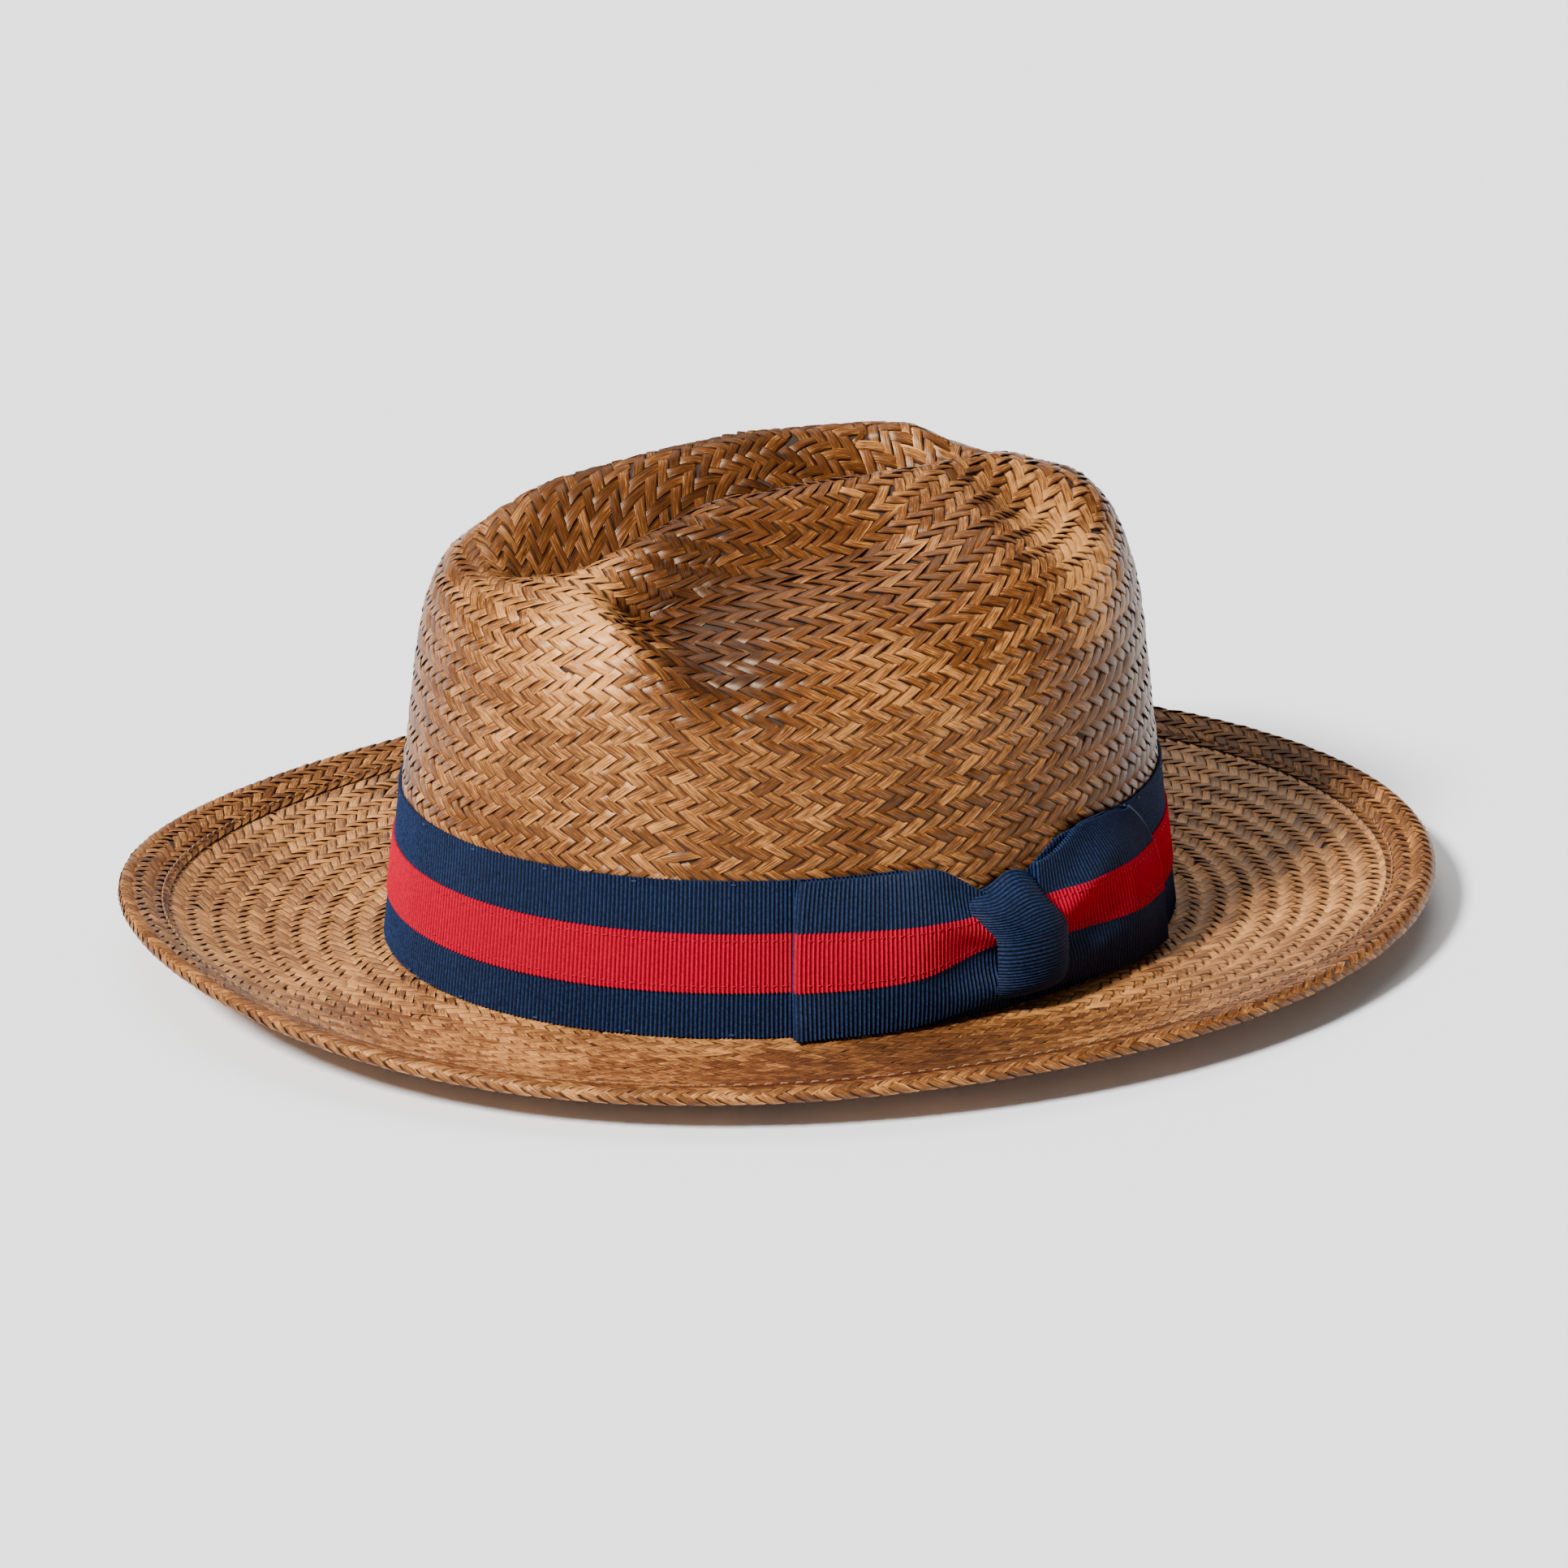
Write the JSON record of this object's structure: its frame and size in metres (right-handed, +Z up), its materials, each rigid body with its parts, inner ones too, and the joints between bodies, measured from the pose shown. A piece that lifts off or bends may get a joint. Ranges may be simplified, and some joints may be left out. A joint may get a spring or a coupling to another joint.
{
  "type": "fedora hat",
  "caption": "Woven straw fedora: creased crown with side pinches, curled brim with a wired edge, striped ribbon band and a flat side bow.",
  "frame": {"origin": "on the table under the middle of the hat, with the hat resting on the flat of its brim", "axes": "+Z up, front of the hat to -Y, wearer's left (the bow's side) to +X"},
  "size_m": [0.2904, 0.3526, 0.1287],
  "materials": {
    "straw_crown": "satin woven straw, brown",
    "straw_brim": "satin woven straw, brown",
    "straw_hem": "satin woven straw, brown",
    "straw_thread": "matte",
    "wire": "plain drawn wire",
    "navy_grosgrain": "ribbed, slight sheen",
    "red_grosgrain": "ribbed, slight sheen",
    "red_thread": "matte",
    "navy_thread": "matte",
    "sweatband": "soft matte cloth",
    "reed": "plain"
  },
  "bodies": {
    "root": {"crown": "straw_crown", "brim": "straw_brim", "brim_hem": "straw_hem", "brim_wire": "wire", "brim_wire_sleeve": "wire", "brim_hem_stitching": "straw_thread", "band_ribbon": "navy_grosgrain", "band_stripe": "red_grosgrain", "stripe_stitching_lower": "red_thread", "stripe_stitching_upper": "red_thread", "bow_front_loop": "navy_grosgrain", "bow_rear_loop": "navy_grosgrain", "bow_front_stripe": "red_grosgrain", "bow_rear_stripe": "red_grosgrain", "bow_knot": "navy_grosgrain", "bow_tack_stitches": "navy_thread", "band_tack_stitches": "navy_thread", "sweatband": "sweatband", "sweatband_reed": "reed", "sweatband_stitching": "navy_thread", "sweatband_seam_tape": "sweatband", "sweatband_seam_stitches": "navy_thread"}
  },
  "joints": []
}
